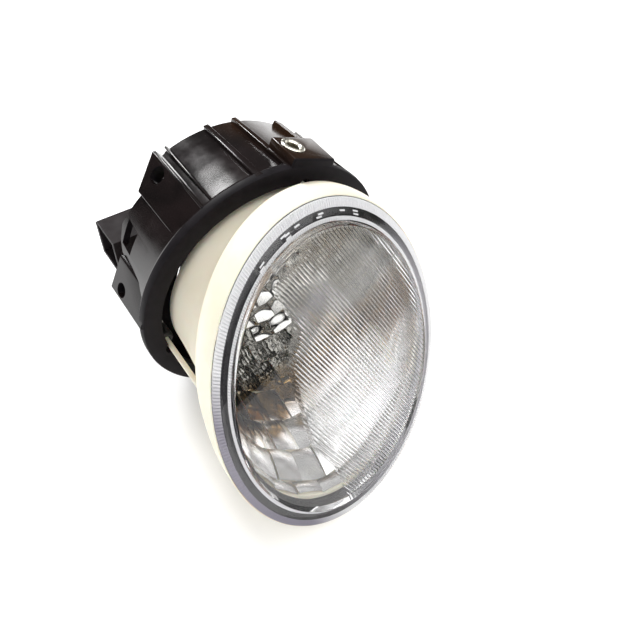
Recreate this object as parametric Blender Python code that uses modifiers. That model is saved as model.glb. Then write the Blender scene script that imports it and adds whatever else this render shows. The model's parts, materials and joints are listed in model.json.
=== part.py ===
"""Round fog lamp: a raked glass lens bonded to a cream reflector housing, carried on two ball
pivots and one aiming screw inside a black bracket cup, with a twist-lock halogen bulb.

The lamp is drawn in its own coordinates: local +Z runs forward along the lamp's axis, towards
the lens, local +Y is up and local +X is to the right. The lamp_axis empty turns that into the
part's frame, +Z up with the lens facing -Y. Drawing sizes are in millimetres.
"""
from collections import namedtuple
from math import cos, pi, radians, sin, sqrt

import bmesh
import bpy
from mathutils import Matrix, Vector

MM = 0.001
GAP = 0.3                       # room between pieces that touch
OVERLAP = 1.0                   # how far a joined shape runs into its neighbour
FLIP_TO_FRAME = radians(90)     # local +Z (forward) becomes -Y, local +Y becomes +Z

# Lens and the rake of its rim plane
LENS_RADIUS = 46.0
LENS_FRONT = 39.8               # lens rim's front edge, on the axis, ahead of the cup's ring
LENS_GLASS = 2.8
LENS_LIP = 0.8                  # how far the face inside the rim stands ahead of it
LENS_STEP_RADIUS = 39.8
LENS_STEP = 1.5
RIM_SOLID = 0.6                 # how much thinner the glass is under the rim than at the face
LENS_CROWN = 2.7
SKIRT_DEPTH = 4.6
SKIRT_GLASS = 1.1
RAKE_X = 0.223                  # how far the lens falls back for each millimetre to the right
RAKE_Y = 0.559                  # and for each millimetre up
RAKE_START = 3.0                # the rake grows from nothing here
RAKE_FULL = 29.5                # to its full amount here
# The housing's middle line wanders off the lamp's axis: depth, then its X and Y there
MIDDLE_LINE = ((-22.0, 0.0, 0.0), (-6.0, 0.4, 1.4), (6.0, 0.4, 1.4), (RAKE_FULL, -0.5, -1.7))

# Reflector housing
FLANGE_RADIUS = 44.6
FLANGE_REAR = 27.0
FLANGE_INNER = 40.0
SEAT_RADIUS = 43.6              # groove that holds the lens's sealant
SEAT_DEPTH = 34.4
SHELL_WALL = 2.3
NECK_FRONT_RADIUS = 39.6
NECK_MIDDLE_RADIUS = 37.0
NECK_RAKED_RADIUS = 36.0
NECK_REAR_RADIUS = 35.6
NECK_MIDDLE = 12.0
MIRROR_RADIUS = 31.7            # at the bowl's front
BOWL_FRONT = -3.0               # the conical neck ends and the bowl starts
BOWL_END = -28.0                # where the mirror's parabola meets the axis
WELL_RADIUS = 14.5
WELL_FLOOR = -27.0
COLLAR_REAR = -30.0
COLLAR_RADIUS = 17.2
BULB_HOLE = 12.0
SPIGOT_ANGLE = 240.0
SPIGOT_OFFSET = 24.0
SPIGOT_RADIUS = 2.4
SPIGOT_FRONT = -17.0
SPIGOT_REAR = -28.0
CAP_RADIUS = 4.6

# Bracket cup
RING_RADIUS = 46.0
RING_THICKNESS = 3.2
FACE_RADIUS = 39.5              # the ring's flat front face ends here
FACE_THICKNESS = 2.2
CUP_DEPTH = 34.0
CUP_FRONT_RADIUS = 44.6
CUP_REAR_RADIUS = 42.3
CUP_WALL = 2.2
WEB_FRONT = -13.0
WEB_REAR = -15.5
WEB_HOLE = 26.0
TILT_HOLE = 30.4                # off centre, to clear the bowl as it tilts
TILT_HOLE_X = 1.0
TILT_HOLE_Y = -1.26
POCKET_RADIUS = 4.1             # round each pivot, through the ring's face
RIB_ANGLES = (88.0, 74.6, 35.6, 12.0, -12.0, -36.0, -60.0, -84.0, -108.0, -132.0)
RIB_WIDTH = 2.2
WIDE_RIB_ANGLE = 50.0
WIDE_RIB_WIDTH = 4.0
RIB_HEIGHT = 1.5
RIB_ROOT = 1.2
RIB_FRONT = -1.0

# Flat mounting pads: the normal's angle, the face's distance from the axis, its side limits
# and depths, and its screw hole
Pad = namedtuple("Pad", "normal distance side_low side_high front rear hole_side hole_z hole_radius")
UPPER_PAD = Pad(127.0, 44.5, -12.0, 0.2, -2.4, -33.7, -8.0, -25.1, 2.9)
LOWER_PAD = Pad(150.0, 44.2, 2.4, 15.3, -0.3, -22.8, 11.9, -15.8, 2.5)
PAD_DEPTH = 5.0
PAD_HOLE_DEPTH = 7.0

# Cuts in the cup's rear edge and wall beside the pads: side and depth, seen square to a pad
REAR_CUT = ((-13.1, -33.3), (-11.8, -33.1), (0.4, -27.2), (12.2, -28.2), (16.7, -25.4),
            (19.3, -21.9), (20.6, -21.9), (20.6, -41.0), (-13.1, -41.0))
LOWER_CUT = ((2.1, -21.6), (30.0, -21.6), (30.0, -42.0), (2.1, -42.0))
WINDOW_ANGLE = 144.5
WINDOW = ((-3.6, -18.4), (4.0, -18.0), (3.7, -24.4), (-4.3, -26.0))
CUT_NEAR = 22.0
CUT_FAR = 52.0

# Threaded insert in its boss on top
BOSS_ANGLE = 64.0
BOSS_SIDE = (-7.6, 8.8)
BOSS_REAR = -13.2
BOSS_FRONT = -0.15
BOSS_TOP = 48.0
INSERT_SIDE = 4.2
INSERT_BACK = -7.8
INSERT_TOP = 48.5
INSERT_BASE = 43.4
INSERT_FLANGE = 3.9
INSERT_BODY = 3.4
INSERT_BORE = 2.1

# Ball pivots and aiming screw, round the axis
PIVOT_RADIUS = 38.9
ADJUSTER_RADIUS = 37.4
PIVOT_PLANE = -8.4
UPPER_PIVOT = (PIVOT_RADIUS, 66.0)
SIDE_PIVOT = (PIVOT_RADIUS, 190.0)
ADJUSTER = (ADJUSTER_RADIUS, 297.0)
BALL_RADIUS = 1.8
SOCKET_RADIUS = 2.7
SOCKET_TOP = 4.4                # ahead of the pivot plane
POST_END = 3.0                  # ahead of the pivot plane
POST_RADIUS = 1.1
STUD_NECK = 1.1
STUD_SHANK = 1.5
STUD_FLANGE = 2.5
FLANGE_THICKNESS = 1.2
ADJUSTER_POST_RADIUS = 3.2
ADJUSTER_POST_END = -3.5
NUT_RADIUS = 2.9
NUT_LENGTH = 4.6
SCREW_RADIUS = 1.7
SCREW_TIP = 3.0
SCREW_HEAD = -17.4
SCREW_HEAD_RADIUS = 3.2
SCREW_HEAD_HEIGHT = 3.1
BUSH_RADIUS = 2.6
BUSH_FLANGE = 3.4

# Bulb
BASE_PROFILE = ((0, -27.0), (9.6, -27.0), (9.6, -30.3), (14.6, -30.3), (14.6, -33.4),
                (12.5, -34.2), (11.4, -36.0), (11.4, -50.0), (10.4, -51.4), (0, -51.4))
CONNECTOR_ANGLE = 176.0
CONNECTOR_ROOT = 6.0
CONNECTOR_REACH = 38.5
CONNECTOR_HALF_WIDTH = 8.5
CONNECTOR_FRONT = -36.3
CONNECTOR_REAR = -52.0
CONNECTOR_WALL = 1.8
CONNECTOR_CHAMFER = 2.5         # on the socket's upper rear edge
LATCH = (31.0, 36.0)
LATCH_HALF_WIDTH = 3.2
LATCH_HEIGHT = 1.8
SOCKET_FLOOR = 24.0
BLADE = (19.8, 36.2)            # from its root to its tip, out from the axis
BLADE_SIDE = 3.3
BLADE_HALF_WIDTH = 1.4
BLADE_Z = (-44.55, -43.75)
LOCK_RING_RADIUS = 10.6
LOCK_RING_BORE = 7.4
LOCK_RING_Z = (-24.6, -26.6)
LOCK_TAB = (9.8, 13.8)
LOCK_TAB_HALF_WIDTH = 2.6
LOCK_TAB_Z = (-26.5, -25.3)
UNLOCK_TURN = 45.0
SEAL_PLACE = (10.8, -28.7)      # the O-ring's middle circle
SEAL_THICKNESS = 0.8
SLEEVE_RADIUS = 7.1
SLEEVE_Z = (-20.5, -26.6)
GLASS_RADIUS = 5.2
GLASS_WALL = 0.9
GLASS_REAR = -26.4
GLASS_TIP = -2.5
FILAMENT_PLANE = -12.0
COIL_TURNS = 5
COIL_RADIUS = 0.62
COIL_LENGTH = 5.0
COIL_WIRE = 0.13
SUPPORT_WIRE = 0.28

# The part's origin: the middle of the upper pad's face, ahead of its screw hole
PAD_POINT_DEPTH = -13.0

ROUND_STEPS = 48
SMALL_STEPS = 16
DOME_RINGS = 4

for old in list(bpy.data.objects):
    bpy.data.objects.remove(old, do_unlink=True)


def new_collection(name):
    group = bpy.data.collections.new(name)
    bpy.context.scene.collection.children.link(group)
    return group


PARTS = new_collection("fog_light")
CUTTERS = new_collection("cutters")


def material(name, colour, roughness, metallic=0.0, transmission=0.0):
    made = bpy.data.materials.new(name)
    made.use_nodes = True
    shader = made.node_tree.nodes["Principled BSDF"]
    shader.inputs["Base Color"].default_value = (*colour, 1.0)
    shader.inputs["Roughness"].default_value = roughness
    shader.inputs["Metallic"].default_value = metallic
    shader.inputs["Transmission Weight"].default_value = transmission
    made.diffuse_color = (*colour, 1.0)
    return made


MATERIALS = {
    "clear_glass": material("clear_glass", (0.86, 0.88, 0.90), 0.05, transmission=1.0),
    "cream_shell": material("cream_shell", (0.84, 0.79, 0.68), 0.45),
    "black_plastic": material("black_plastic", (0.045, 0.034, 0.032), 0.28),
    "dark_sealant": material("dark_sealant", (0.10, 0.10, 0.11), 0.60),
    "bright_steel": material("bright_steel", (0.72, 0.71, 0.68), 0.25, metallic=1.0),
    "brass": material("brass", (0.80, 0.72, 0.50), 0.30, metallic=1.0),
    "white_nylon": material("white_nylon", (0.82, 0.82, 0.79), 0.50),
    "black_nylon": material("black_nylon", (0.03, 0.03, 0.03), 0.45),
    "grey_bulb_plastic": material("grey_bulb_plastic", (0.06, 0.05, 0.05), 0.40),
    "red_rubber": material("red_rubber", (0.45, 0.10, 0.06), 0.65),
    "black_rubber": material("black_rubber", (0.03, 0.03, 0.03), 0.75),
    "tungsten": material("tungsten", (0.45, 0.44, 0.43), 0.40, metallic=1.0),
}


def polar(radius, degrees):
    """A point round the lamp's axis, in local X and Y."""
    return radius * cos(radians(degrees)), radius * sin(radians(degrees))


LAMP_AXIS = bpy.data.objects.new("lamp_axis", None)
PARTS.objects.link(LAMP_AXIS)
pad_x, pad_y = polar(UPPER_PAD.distance, UPPER_PAD.normal)
shift_x, shift_y = polar((UPPER_PAD.side_low + UPPER_PAD.side_high) / 2, UPPER_PAD.normal + 90)
LAMP_AXIS.rotation_euler = (FLIP_TO_FRAME, 0, 0)
LAMP_AXIS.location = (
    -(pad_x + shift_x) * MM, PAD_POINT_DEPTH * MM, -(pad_y + shift_y) * MM)


# ---- building helpers ---------------------------------------------------------------------

def finish_part(obj, material_name, smooth_angle=35):
    """Put a finished shape among the parts, with its material and smooth round faces."""
    for group in list(obj.users_collection):
        group.objects.unlink(obj)
    PARTS.objects.link(obj)
    obj.data.materials.clear()
    obj.data.materials.append(MATERIALS[material_name])
    obj.parent = LAMP_AXIS
    obj.data.shade_smooth()
    obj.data.set_sharp_from_angle(angle=radians(smooth_angle))
    return obj


def as_tool(obj):
    """Keep a shape only to cut or join others."""
    for group in list(obj.users_collection):
        group.objects.unlink(obj)
    CUTTERS.objects.link(obj)
    obj.parent = LAMP_AXIS
    obj.hide_render = True
    obj.display_type = "WIRE"
    return obj


def mesh_object(name, bm):
    """Turn a bmesh drawn in millimetres into an object in metres."""
    bmesh.ops.scale(bm, vec=(MM, MM, MM), verts=bm.verts)
    mesh = bpy.data.meshes.new(name)
    bm.to_mesh(mesh)
    bm.free()
    obj = bpy.data.objects.new(name, mesh)
    CUTTERS.objects.link(obj)
    return obj


def turned(name, profile, steps=ROUND_STEPS, closed=True):
    """Revolve (radius, z) points round local Z. The outer side is listed from the front back."""
    mesh = bpy.data.meshes.new(name)
    points = [(radius * MM, 0, z * MM) for radius, z in profile]
    edges = [(i, i + 1) for i in range(len(points) - 1)]
    if closed:
        edges.append((len(points) - 1, 0))
    mesh.from_pydata(points, edges, [])
    obj = bpy.data.objects.new(name, mesh)
    CUTTERS.objects.link(obj)
    screw = obj.modifiers.new("Turn", "SCREW")
    screw.axis = "Z"
    screw.steps = steps
    screw.render_steps = steps
    screw.use_merge_vertices = True
    screw.merge_threshold = 0.00001
    return bake(obj)


def bake(obj):
    """Replace an object's mesh with its evaluated one, with any loose seams closed."""
    depsgraph = bpy.context.evaluated_depsgraph_get()
    mesh = bpy.data.meshes.new_from_object(obj.evaluated_get(depsgraph))
    bm = bmesh.new()
    bm.from_mesh(mesh)
    bmesh.ops.remove_doubles(bm, verts=bm.verts, dist=0.000001)
    bm.to_mesh(mesh)
    bm.free()
    mesh.name = obj.name
    obj.modifiers.clear()
    obj.data = mesh
    return obj


def move(obj, x=0.0, y=0.0, z=0.0):
    obj.data.transform(Matrix.Translation((x * MM, y * MM, z * MM)))
    return obj


def point_outward(obj, degrees):
    """Lay a shape drawn along local Z out along a radius, at an angle round the axis."""
    lean = Matrix.Rotation(radians(90), 4, "Y")
    turn = Matrix.Rotation(radians(degrees), 4, "Z")
    obj.data.transform(turn @ lean)
    return obj


def block(name, radius_span, side_span, z_span, degrees=0.0):
    """A box whose first direction is the radius at an angle round the axis."""
    bm = bmesh.new()
    bmesh.ops.create_cube(bm, size=1)
    spans = (radius_span, side_span, z_span)
    size = [abs(high - low) for low, high in spans]
    middle = [(high + low) / 2 for low, high in spans]
    bmesh.ops.scale(bm, vec=size, verts=bm.verts)
    bmesh.ops.translate(bm, vec=middle, verts=bm.verts)
    bmesh.ops.rotate(bm, cent=(0, 0, 0), matrix=Matrix.Rotation(radians(degrees), 3, "Z"),
                     verts=bm.verts)
    return mesh_object(name, bm)


def rod(name, radius, z_front, z_rear, steps=SMALL_STEPS):
    """A plain cylinder along local Z."""
    bm = bmesh.new()
    bmesh.ops.create_cone(bm, cap_ends=True, segments=steps, radius1=radius, radius2=radius,
                          depth=z_front - z_rear)
    bmesh.ops.translate(bm, vec=(0, 0, (z_front + z_rear) / 2), verts=bm.verts)
    return mesh_object(name, bm)


def prism(name, outline, degrees, near=CUT_NEAR, far=CUT_FAR):
    """An outline in side and depth, drawn out along the radius at an angle round the axis."""
    bm = bmesh.new()
    face = bm.faces.new([bm.verts.new((near, side, z)) for side, z in outline])
    walls = bmesh.ops.extrude_face_region(bm, geom=[face])
    moved = [item for item in walls["geom"] if isinstance(item, bmesh.types.BMVert)]
    bmesh.ops.translate(bm, vec=(far - near, 0, 0), verts=moved)
    bmesh.ops.recalc_face_normals(bm, faces=bm.faces)
    bmesh.ops.rotate(bm, cent=(0, 0, 0), matrix=Matrix.Rotation(radians(degrees), 3, "Z"),
                     verts=bm.verts)
    return mesh_object(name, bm)


def boolean(obj, tool, operation):
    modifier = obj.modifiers.new(operation.title(), "BOOLEAN")
    modifier.operation = operation
    modifier.solver = "EXACT"
    modifier.object = as_tool(tool)
    return obj


def join_shapes(name, shapes):
    """One tool made of several shapes that stay apart."""
    bm = bmesh.new()
    for shape in shapes:
        bm.from_mesh(shape.data)
        bpy.data.objects.remove(shape, do_unlink=True)
    mesh = bpy.data.meshes.new(name)
    bm.to_mesh(mesh)
    bm.free()
    obj = bpy.data.objects.new(name, mesh)
    CUTTERS.objects.link(obj)
    return obj


def rake_share(z):
    """How much of the lens's rake a point at this depth has, from 0 to 1."""
    return min(max((z - RAKE_START) / (RAKE_FULL - RAKE_START), 0.0), 1.0)


def middle_line(z):
    """The housing's middle, in X and Y, at a depth before the rake."""
    places = [(MIDDLE_LINE[0][0] - 1, 0.0, 0.0), *MIDDLE_LINE, (LENS_FRONT * 2, *MIDDLE_LINE[-1][1:])]
    for (z0, x0, y0), (z1, x1, y1) in zip(places, places[1:]):
        if z <= z1:
            share = max((z - z0) / (z1 - z0), 0.0)
            return x0 + share * (x1 - x0), y0 + share * (y1 - y0)
    return places[-1][1:]


def rake(obj):
    """Slope the front of a turned shape with the lens, and set it on the middle line."""
    for vertex in obj.data.vertices:
        z = vertex.co.z / MM
        x_shift, y_shift = middle_line(z)
        vertex.co.x += x_shift * MM
        vertex.co.y += y_shift * MM
        vertex.co.z -= rake_share(z) * (RAKE_X * vertex.co.x + RAKE_Y * vertex.co.y)
    return obj


def raked_depth(radius, degrees, z):
    x, y = polar(radius, degrees)
    return z - rake_share(z) * (RAKE_X * x + RAKE_Y * y)


def ring_profile(outer, inner, front, rear):
    return [(outer, front), (outer, rear), (inner, rear), (inner, front)]


# ---- lens and reflector --------------------------------------------------------------------

def dome(radius, edge_z, crown, count):
    """Points of a shallow dome from the axis out to a radius."""
    points = []
    for i in range(count + 1):
        r = radius * i / count
        points.append((r, edge_z + crown * (1 - (r / radius) ** 2)))
    return points


def build_lens():
    step_front = LENS_FRONT + LENS_LIP + LENS_STEP
    skirt_rear = LENS_FRONT - SKIRT_DEPTH
    skirt_inner = LENS_RADIUS - SKIRT_GLASS
    rim_back = LENS_FRONT - LENS_GLASS + RIM_SOLID
    outer = dome(LENS_STEP_RADIUS - 0.5, step_front, LENS_CROWN, DOME_RINGS)
    outer += [(LENS_STEP_RADIUS, step_front - 0.4), (LENS_STEP_RADIUS + 0.3, LENS_FRONT + LENS_LIP)]
    outer += [(LENS_RADIUS - 0.8, LENS_FRONT + 0.3), (LENS_RADIUS, LENS_FRONT - 0.4)]
    outer += [(LENS_RADIUS, skirt_rear), (skirt_inner, skirt_rear), (skirt_inner, rim_back)]
    inner = dome(LENS_STEP_RADIUS - 1.2, step_front - LENS_GLASS, LENS_CROWN, DOME_RINGS)
    outer += [(LENS_STEP_RADIUS - 0.6, rim_back)]
    profile = outer + inner[::-1]
    return finish_part(rake(turned("lens", profile, closed=False)), "clear_glass")


def build_lens_seal():
    profile = ring_profile(SEAT_RADIUS - GAP, FLANGE_INNER + 0.4, LENS_FRONT - LENS_GLASS + GAP,
                           SEAT_DEPTH + GAP)
    return finish_part(rake(turned("lens_seal", profile)), "dark_sealant")


def mirror_radius(z):
    """The mirrored bowl's radius, a parabola."""
    return MIRROR_RADIUS * sqrt((z - BOWL_END) / (BOWL_FRONT - BOWL_END))


def bowl_points(offset, depths):
    """The bowl's wall at these depths, moved out square to the mirror by an offset."""
    points = []
    for z in depths:
        slope = (mirror_radius(z + 0.05) - mirror_radius(z - 0.05)) / 0.1
        length = sqrt(1 + slope * slope)
        points.append((mirror_radius(z) + offset / length, z - offset * slope / length))
    return points


def post(name, place, radius, rear):
    """A post from the flange's rear step back to a pivot."""
    x, y = polar(*place)
    front = raked_depth(*place, FLANGE_REAR) + OVERLAP
    return move(rod(name, radius, front, rear, steps=20), x, y)


def build_reflector():
    front = LENS_FRONT - LENS_GLASS
    outer = [(FLANGE_RADIUS, front), (FLANGE_RADIUS, FLANGE_REAR + 1.6),
             (FLANGE_RADIUS - 0.6, FLANGE_REAR + 0.5), (FLANGE_RADIUS - 2.0, FLANGE_REAR),
             (NECK_FRONT_RADIUS, FLANGE_REAR - 0.8), (NECK_MIDDLE_RADIUS, NECK_MIDDLE),
             (NECK_RAKED_RADIUS, RAKE_START), (NECK_REAR_RADIUS, BOWL_FRONT)]
    outer += bowl_points(SHELL_WALL, (-6, -10, -14, -18, -21))
    outer += [(COLLAR_RADIUS + 0.8, -24.6), (COLLAR_RADIUS, -25.4), (COLLAR_RADIUS, COLLAR_REAR),
              (BULB_HOLE, COLLAR_REAR), (BULB_HOLE, WELL_FLOOR), (WELL_RADIUS, WELL_FLOOR)]
    well_top = BOWL_END + (BOWL_FRONT - BOWL_END) * (WELL_RADIUS / MIRROR_RADIUS) ** 2
    inner = [(mirror_radius(z), z) for z in (well_top, -20, -17, -13, -8)]
    inner += [(MIRROR_RADIUS, BOWL_FRONT), (NECK_RAKED_RADIUS - SHELL_WALL, RAKE_START),
              (NECK_MIDDLE_RADIUS - SHELL_WALL, NECK_MIDDLE),
              (NECK_FRONT_RADIUS - SHELL_WALL, FLANGE_REAR - 0.8),
              (FLANGE_INNER, FLANGE_REAR + 2.2), (FLANGE_INNER, SEAT_DEPTH),
              (SEAT_RADIUS, SEAT_DEPTH), (SEAT_RADIUS, front)]
    shell = rake(turned("reflector_housing", outer + inner))
    ball_post_end = PIVOT_PLANE + POST_END
    posts = [post("side_post", SIDE_PIVOT, POST_RADIUS, ball_post_end),
             post("upper_post", UPPER_PIVOT, POST_RADIUS, ball_post_end),
             post("adjuster_post", ADJUSTER, ADJUSTER_POST_RADIUS, ADJUSTER_POST_END)]
    x, y = polar(*ADJUSTER)
    screw_bore = move(rod("screw_bore", SCREW_RADIUS + 0.8, SCREW_TIP + 3.5, ADJUSTER_POST_END - 2),
                      x, y)
    x, y = polar(SPIGOT_OFFSET, SPIGOT_ANGLE)
    spigot = move(rod("vent_spigot", SPIGOT_RADIUS, SPIGOT_FRONT, SPIGOT_REAR), x, y)
    vent = move(rod("vent_bore", SPIGOT_RADIUS / 2, SPIGOT_FRONT + 7, SPIGOT_REAR - 2), x, y)
    boolean(shell, join_shapes("reflector_posts", posts + [spigot]), "UNION")
    boolean(shell, join_shapes("reflector_bores", [screw_bore, vent]), "DIFFERENCE")
    half = LOCK_TAB_HALF_WIDTH + GAP
    slots = [block("bulb_slot", (BULB_HOLE - OVERLAP, LOCK_TAB[1] + GAP), (-half, half),
                   (WELL_FLOOR + OVERLAP, COLLAR_REAR - OVERLAP),
                   CONNECTOR_ANGLE - UNLOCK_TURN + 120 * i) for i in range(3)]
    boolean(shell, join_shapes("bulb_slots", slots), "DIFFERENCE")
    return finish_part(shell, "cream_shell")


def build_breather():
    inner = SPIGOT_RADIUS + GAP
    profile = [(0.0, SPIGOT_REAR - 0.5), (inner, SPIGOT_REAR - 0.5), (inner, SPIGOT_REAR + 4.4),
               (CAP_RADIUS, SPIGOT_REAR + 4.4), (CAP_RADIUS, SPIGOT_REAR - 1.6),
               (CAP_RADIUS - 0.6, SPIGOT_REAR - 2.2), (0.0, SPIGOT_REAR - 2.2)]
    cap = turned("breather_cap", profile, steps=SMALL_STEPS, closed=False)
    x, y = polar(SPIGOT_OFFSET, SPIGOT_ANGLE)
    return finish_part(move(cap, x, y), "black_rubber")


# ---- bracket -------------------------------------------------------------------------------

def pad_shapes(name, pad):
    body = block(name, (pad.distance - PAD_DEPTH, pad.distance), (pad.side_low, pad.side_high),
                 (pad.rear, pad.front), pad.normal)
    hole = point_outward(rod(name + "_hole", pad.hole_radius, pad.distance + 2,
                             pad.distance - PAD_HOLE_DEPTH), 0)
    move(hole, 0, pad.hole_side, pad.hole_z)
    hole.data.transform(Matrix.Rotation(radians(pad.normal), 4, "Z"))
    return body, hole


def rib(degrees, width):
    """A rib along the cup's tapered wall."""
    middle = (RIB_FRONT - CUP_DEPTH) / 2
    shape = block("rib", (CUP_FRONT_RADIUS - RIB_ROOT, CUP_FRONT_RADIUS + RIB_HEIGHT),
                  (-width / 2, width / 2), (0.4 - CUP_DEPTH, RIB_FRONT))
    for vertex in shape.data.vertices:
        if vertex.co.z < middle * MM:
            vertex.co.x -= (CUP_FRONT_RADIUS - CUP_REAR_RADIUS) * MM
    shape.data.transform(Matrix.Rotation(radians(degrees), 4, "Z"))
    return shape


def cup_profile():
    wall_front = CUP_FRONT_RADIUS - CUP_WALL
    wall_rear = CUP_REAR_RADIUS - CUP_WALL
    wall_web = wall_front - (wall_front - wall_rear) * WEB_FRONT / -CUP_DEPTH
    return [(RING_RADIUS - 0.6, 0), (RING_RADIUS, -0.6), (RING_RADIUS, -RING_THICKNESS),
            (CUP_FRONT_RADIUS + 0.3, -RING_THICKNESS - 0.6),
            (CUP_FRONT_RADIUS, -RING_THICKNESS - 1.4),
            (CUP_REAR_RADIUS, 0.6 - CUP_DEPTH), (CUP_REAR_RADIUS - 0.6, -CUP_DEPTH),
            (wall_rear, -CUP_DEPTH), (wall_web, WEB_REAR), (WEB_HOLE, WEB_REAR),
            (WEB_HOLE, WEB_FRONT), (wall_web, WEB_FRONT), (wall_front, -FACE_THICKNESS),
            (FACE_RADIUS, -FACE_THICKNESS), (FACE_RADIUS, -0.4), (FACE_RADIUS + 0.4, 0)]


def build_cup():
    cup = turned("bracket_cup", cup_profile())
    ribs = [rib(angle, RIB_WIDTH) for angle in RIB_ANGLES]
    ribs.append(rib(WIDE_RIB_ANGLE, WIDE_RIB_WIDTH))
    boolean(cup, join_shapes("cup_ribs", ribs), "UNION")
    upper_pad, upper_hole = pad_shapes("upper_pad", UPPER_PAD)
    lower_pad, lower_hole = pad_shapes("lower_pad", LOWER_PAD)
    boss = block("boss", (CUP_FRONT_RADIUS - 1.6, BOSS_TOP), BOSS_SIDE, (BOSS_REAR, BOSS_FRONT),
                 BOSS_ANGLE)
    boolean(cup, join_shapes("cup_pads", [upper_pad, lower_pad, boss]), "UNION")
    tilt_hole = rod("tilt_hole", TILT_HOLE, WEB_FRONT + 1, WEB_REAR - 1, steps=ROUND_STEPS)
    boolean(cup, move(tilt_hole, TILT_HOLE_X, TILT_HOLE_Y), "DIFFERENCE")
    pockets = []
    bores = [upper_hole, lower_hole, insert_shape(rod(
        "insert_bore", INSERT_BODY + GAP, BOSS_TOP + 3, INSERT_BASE - 0.6, steps=24))]
    for place, bore in ((UPPER_PIVOT, STUD_SHANK + GAP), (SIDE_PIVOT, STUD_SHANK + GAP),
                        (ADJUSTER, BUSH_RADIUS + GAP)):
        x, y = polar(*place)
        pockets.append(move(rod("pocket", POCKET_RADIUS, 1, -FACE_THICKNESS - 2, steps=24), x, y))
        bores.append(move(rod("web_bore", bore, WEB_FRONT + 1, WEB_REAR - 1), x, y))
    boolean(cup, join_shapes("cup_pockets", pockets), "DIFFERENCE")
    boolean(cup, join_shapes("cup_bores", bores), "DIFFERENCE")
    boolean(cup, prism("rear_cut", REAR_CUT, UPPER_PAD.normal), "DIFFERENCE")
    boolean(cup, prism("lower_cut", LOWER_CUT, LOWER_PAD.normal), "DIFFERENCE")
    boolean(cup, prism("window", WINDOW, WINDOW_ANGLE, near=CUP_REAR_RADIUS - 6), "DIFFERENCE")
    return finish_part(cup, "black_plastic")


def insert_shape(shape):
    """Lay a shape drawn along local Z square to the boss, at the insert's place."""
    point_outward(shape, 0)
    move(shape, 0, INSERT_SIDE, INSERT_BACK)
    shape.data.transform(Matrix.Rotation(radians(BOSS_ANGLE), 4, "Z"))
    return shape


def build_insert():
    profile = [(INSERT_FLANGE - 0.4, INSERT_TOP), (INSERT_FLANGE, INSERT_TOP - 0.3),
               (INSERT_FLANGE, BOSS_TOP + 0.1), (INSERT_BODY, BOSS_TOP + 0.1),
               (INSERT_BODY, INSERT_BASE), (INSERT_BORE, INSERT_BASE),
               (INSERT_BORE, INSERT_TOP - 0.5), (INSERT_BORE + 0.5, INSERT_TOP)]
    insert = insert_shape(turned("top_thread_insert", profile, steps=24))
    return finish_part(insert, "brass")


def ball_arc(radius, start, end, count):
    """Points round a ball centred on the pivot plane, angles from its front pole."""
    return [(radius * sin(radians(start + (end - start) * i / count)),
             PIVOT_PLANE + radius * cos(radians(start + (end - start) * i / count)))
            for i in range(count + 1)]


def build_pivot(name, place):
    """A ball stud riveted in the bracket's web and the socket on the post that turns on it."""
    x, y = polar(*place)
    seat = WEB_FRONT + GAP
    stud = ball_arc(BALL_RADIUS, 0, 145, 6)
    stud += [(STUD_NECK, seat + FLANGE_THICKNESS), (STUD_FLANGE, seat + FLANGE_THICKNESS),
             (STUD_FLANGE, seat), (STUD_SHANK, seat), (STUD_SHANK, WEB_REAR - GAP),
             (STUD_SHANK + 0.7, WEB_REAR - GAP), (STUD_SHANK + 0.4, WEB_REAR - 1.2),
             (0, WEB_REAR - 1.2)]
    stud_part = move(turned("pivot_stud_" + name, stud, SMALL_STEPS, closed=False), x, y)
    cavity = ball_arc(BALL_RADIUS + GAP, 0, 128, 5)
    top = PIVOT_PLANE + SOCKET_TOP
    post_bore = POST_RADIUS + GAP
    socket = [(0, PIVOT_PLANE + POST_END - GAP), (post_bore, PIVOT_PLANE + POST_END - GAP),
              (post_bore, top), (SOCKET_RADIUS - 0.5, top), (SOCKET_RADIUS, top - 0.5),
              (SOCKET_RADIUS, cavity[-1][1])]
    socket += cavity[::-1]
    socket_part = move(turned("pivot_socket_" + name, socket, SMALL_STEPS, closed=False), x, y)
    return finish_part(stud_part, "bright_steel"), finish_part(socket_part, "black_nylon")


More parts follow.
